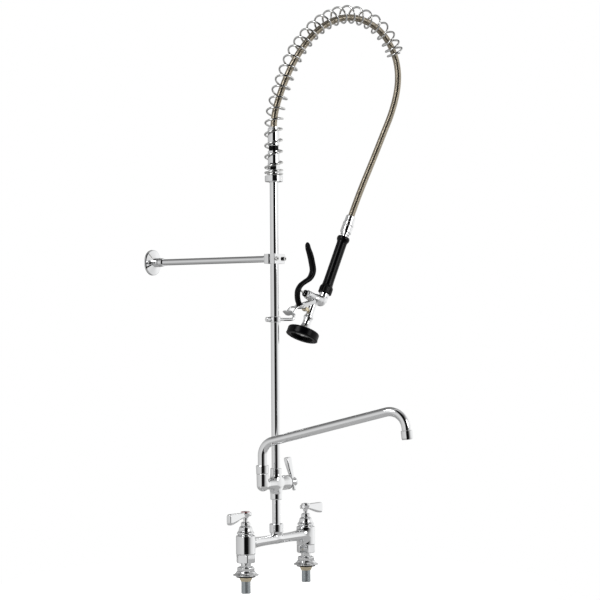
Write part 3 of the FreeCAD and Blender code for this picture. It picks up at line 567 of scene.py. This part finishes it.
# Thin black ring in the rubber slot at the add-on body's end: painted shade, a dark ring standing in for the shadowed
# gap between the body and its bonnet ring.
add_piece("addon_gap_shade_ring", [lathe([(10, 0.0), (13.7, 0.0), (14.1, 0.8), (13.7, 1.6), (10, 1.6)], end_at,
                                    V((1, 0, 0)), soft=0.3, closed=True)], "rubber", "body")

# ---- hose ------------------------------------------------------------------
HOSE_R, RIB_PITCH, RIB_DEPTH, CORD_ACROSS = 6.6, 2.6, 0.45, 0.0136
ROUTE = [
    (0, 0, 0.852), (0, 0, 0.878), (0.00856, -0.00278, 0.913), (0.02711, -0.00881, 0.958),
    (0.05041, -0.01638, 1.002), (0.08179, -0.02658, 1.0425), (0.11888, -0.03863, 1.0755),
    (0.16358, -0.05315, 1.096), (0.20733, -0.06737, 1.0985), (0.25203, -0.08189, 1.084),
    (0.28437, -0.0924, 1.054), (0.30291, -0.09842, 1.014), (0.30433, -0.09888, 0.968),
    (0.28913, -0.09394, 0.916), (0.26392, -0.08575, 0.865), (0.23872, -0.07756, 0.813),
    (0.20881, -0.06785, 0.7539), (0.18825, -0.06117, 0.7088), (0.1751, -0.05689, 0.67774)]
curve = D.curves.new("hose_route", "CURVE")
curve.dimensions = "3D"
spline = curve.splines.new("NURBS")
spline.points.add(len(ROUTE) - 1)
for point, place in zip(spline.points, ROUTE):
    point.co = (*place, 1)
spline.order_u, spline.use_endpoint_u, spline.resolution_u = 3, True, 16
route = D.objects.new("hose_route", curve)
bpy.context.scene.collection.objects.link(route)
drawn = D.meshes.new_from_object(route)
hose_line = [v.co.copy() for v in drawn.vertices]
D.objects.remove(route)
D.meshes.remove(drawn)


def stations(line, step):
    """(point, direction) at even steps along a line."""
    out, left = [], 0.0
    for a, b in zip(line, line[1:]):
        run = (b - a).length
        while left < run:
            out.append((a.lerp(b, left / run), (b - a).normalized()))
            left += step
        left -= run
    return out


def smoothed(steps, reach):
    """The same stations with directions taken over a longer stretch."""
    out = []
    for i, (p, _) in enumerate(steps):
        a, b = steps[max(i - reach, 0)][0], steps[min(i + reach, len(steps) - 1)][0]
        out.append((p, (b - a).normalized()))
    return out


SIDES = 24
rib_steps = smoothed(stations(hose_line, RIB_PITCH * MM / 6), 24)
rings = []
for i, (p, t) in enumerate(rib_steps):
    normal = t.cross(across).normalized()
    ring = []
    for k in range(SIDES):
        a = TAU * k / SIDES
        wave = 0.5 + 0.5 * math.cos(TAU * (i / 6 - k / SIDES))
        radius = HOSE_R - RIB_DEPTH * (1 - wave ** 0.6)
        ring.append(p + (normal * math.cos(a) + across * math.sin(a)) * radius * MM)
    rings.append(ring)
hose = add_piece("hose_ribbed", [skin(rings)], "hose_steel", None, "hose", sharp=180)
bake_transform(hose)

# ---- overhead spring -------------------------------------------------------
SPRING_R, WIRE_R, BULGE = 16.5, 2.0, 6.4
spring_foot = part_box("spring_holder")[1].z + WIRE_R * MM
coils = [4.3, 10.7] + [21.87] * 23 + [18.0, 14.0, 10.0]
coil_steps = smoothed(stations(hose_line, 0.002), 3)


def coil_centre(d):
    """Centre of the spring at a distance in mm along the hose, with its frame."""
    if d <= 0:
        return V((0, 0, hose_line[0].z + d * MM)), -outward
    i = min(int(d / 2.0), len(coil_steps) - 2)
    p = coil_steps[i][0].lerp(coil_steps[i + 1][0], d / 2.0 - i)
    normal = coil_steps[i][1].cross(across).normalized()
    ease = min(max((d - 60) / 120.0, 0), 1) - 0.5 * min(max((d - 330) / 100.0, 0), 1)
    return p + normal * (BULGE * ease * MM), normal


PER_TURN, WIRE_SIDES = 32, 12
wire, d = [], (spring_foot - hose_line[0].z) / MM
for pitch in coils:
    for k in range(PER_TURN):
        a = TAU * k / PER_TURN
        p, normal = coil_centre(d + pitch * k / PER_TURN)
        wire.append(p + (normal * math.cos(a) - across * math.sin(a)) * SPRING_R * MM)
    d += pitch
rings = []
for i, p in enumerate(wire):
    t = (wire[min(i + 1, len(wire) - 1)] - wire[max(i - 1, 0)]).normalized()
    n1 = t.cross(UP if abs(t.z) < 0.95 else across).normalized()
    n2 = t.cross(n1)
    end = min(i, len(wire) - 1 - i)
    r = WIRE_R * (math.sqrt(1 - (1 - end / 2) ** 2) if end < 2 else 1) if end else WIRE_R * 0.45
    rings.append([p + (n1 * math.cos(TAU * k / WIRE_SIDES) + n2 * math.sin(TAU * k / WIRE_SIDES)) * r * MM
                  for k in range(WIRE_SIDES)])
add_piece("spring_wire", [skin(rings)], "bright_steel", "overhead", "overhead_spring", sharp=180)

# ---- sprayer ---------------------------------------------------------------
add_piece("grip_sleeve", [lathe(
    [(6.3, 16.5), (12.9, 16.5), (13.6, 17.2), (13.6, 29.0), (12.2, 31.5), (10.9, 34), (10.4, 44), (10.3, 60),
     (10.3, 90), (10.3, 126), (10.9, 130), (12.0, 131.6), (12.9, 134), (12.9, 137.6), (11.8, 140), (6.3, 140)],
    head_at, w_dir, steps=96, soft=0.5, closed=True,
    form=lambda r, z, a: r - (0.9 * max(math.cos(12 * a), 0) if z < 30 and r > 12 else 0))],
    "grip_black", "sprayer", "grip")
bell_foot = head_at + u_dir * NECK_U * MM
add_piece("bumper_ring", [lathe(
    [(26.5, -71.6), (29.8, -70.8), (31.5, -72.2), (32.0, -74.0), (32.0, -84.4), (32.6, -84.8), (32.6, -85.6),
     (32.0, -86.2), (30.0, -87.0), (24.0, -86.6), (22.4, -85.2), (22.4, -81.6), (24, -81.6), (24, -78),
     (22, -78), (22, -75), (26.5, -75)], bell_foot, w_dir, steps=96, soft=0.4, closed=True)],
    "rubber", "sprayer", "bumper")
valve_at, lever_way = head_at + (u_dir * NECK_U + w_dir * VALVE_W) * MM, u_dir
add_piece("valve_ring", [lathe(
    [(3.4, 25.6), (6.9, 25.6), (6.9, 28.2), (6.2, 29.1), (4.4, 29.2), (3.4, 28.4)], valve_at, lever_way,
    soft=0.4, closed=True)], "rubber", "sprayer", "valve_cap")
add_piece("valve_eye", [lathe([(2.0, 25.7), (3.5, 25.7), (3.5, 28.0), (2.0, 28.6)], valve_at, lever_way,
                              soft=0.3, closed=True)], "chrome", "sprayer")

LEVER_LINE = [(46, -32), (56, -22.5), (61.8, -11.6), (63.2, -2.4), (60.4, 8), (54, 17.5), (46.8, 27), (44, 36.6),
              (45.4, 47.3), (53.7, 59.9), (63.6, 72.1), (73, 81.4), (80, 91.8)]
HALF_THICK, HALF_WIDE = 4.5, 6.2
line = smooth_line(LEVER_LINE, 8)
rings = []
for i, p in enumerate(line):
    t = (line[min(i + 1, len(line) - 1)] - line[max(i - 1, 0)]).normalized()
    f = i / (len(line) - 1)
    taper = 1 + 0.16 * min(max((f - 0.40) / 0.2, 0), 1) - 0.36 * max((f - 0.78) / 0.22, 0) ** 1.6
    tip = math.sqrt(max(1 - max((f - 0.95) / 0.05, 0) ** 2, 0.02))
    root = math.sqrt(max(1 - max((0.03 - f) / 0.03, 0) ** 2, 0.1))
    rings.append([spray(p.x - t.y * q, p.y + t.x * q, n) for n, q in
                  squared(HALF_WIDE * taper * tip * root, HALF_THICK * taper * tip * root, 2.7)])
pivot = spray(46, -32)
eye = lathe([(2.1, -6.2), (4.9, -6.2), (4.9, 6.2), (2.1, 6.2)], pivot, across, soft=0.8, closed=True)
add_piece("squeeze_lever_grip", [skin(rings), eye], "lever_black", "squeeze_lever", "spray_lever", sharp=60)

ring_tilt = math.radians(-17.0)
plate_u = V((math.cos(ring_tilt), -math.sin(ring_tilt)))
plate_w = V((math.sin(ring_tilt), math.cos(ring_tilt)))
rings = []
for k in range(21):
    n = -15.2 + 30.4 * k / 20
    half = 7.7 * (1 - 0.30 * (abs(n) / 15.2) ** 6) - 1.5 * math.exp(-(n / 4.0) ** 2)
    dish = 0.9 * math.cos(n / 15.2 * math.pi * 0.5) - 0.4
    row = []
    for a, b in squared(half, 0.9, 3.0, 24):
        lift = b + dish * (a / 7.7) ** 2
        row.append(spray(65.3 + plate_u.x * a + plate_w.x * lift, -54.9 + plate_u.y * a + plate_w.y * lift, n))
    rings.append(row)
parts = [skin(rings)]
for n in (-11.2, 11.2):
    path = smooth_line([(47.5, -34, n), (56.8, -38.6, n), (61.6, -45.8, n), (63.6, -54, n)], 6)
    tube = []
    for i, p in enumerate(path):
        t = (path[min(i + 1, len(path) - 1)] - path[max(i - 1, 0)]).normalized()
        tube.append([spray(p.x - t.y * 1.7 * math.cos(TAU * k / 12), p.y + t.x * 1.7 * math.cos(TAU * k / 12),
                           n + 1.7 * math.sin(TAU * k / 12)) for k in range(12)])
    parts += [skin(tube), lathe([(2.05, -1.9), (4.0, -1.9), (4.0, 1.9), (2.05, 1.9)], spray(46, -32, n), across,
                                soft=0.5, closed=True)]
add_piece("ring_plate", parts, "chrome", "ring", "hold_down_ring", sharp=60)

# ---- floor -----------------------------------------------------------------
FLOOR_R, GLOW, BOUNCE = 0.55, 1.00, 0.15
bm = bmesh.new()
bmesh.ops.create_circle(bm, cap_ends=True, segments=96, radius=FLOOR_R,
                        matrix=Matrix.Translation((0, 0, cad_box[0][2] - 0.0005)))
me = D.meshes.new("floor")
bm.to_mesh(me)
bm.free()
floor = D.objects.new("floor", me)
bpy.context.scene.collection.objects.link(floor)
pale = D.materials.new("pale_floor")
pale.use_nodes = True
t = Tree(pale.node_tree)
seen = t.add("ShaderNodeLightPath")
glow = t.math("ADD", t.math("MULTIPLY", seen.outputs["Is Camera Ray"], GLOW - BOUNCE), BOUNCE)
shader = t.add("ShaderNodeBsdfPrincipled", {"Emission Strength": glow}, Roughness=0.9)
shader.inputs["Base Color"].default_value = (0.50, 0.50, 0.50, 1)
shader.inputs["Emission Color"].default_value = (1, 1, 1, 1)
t.add("ShaderNodeOutputMaterial", {"Surface": shader.outputs[0]})
me.materials.append(pale)
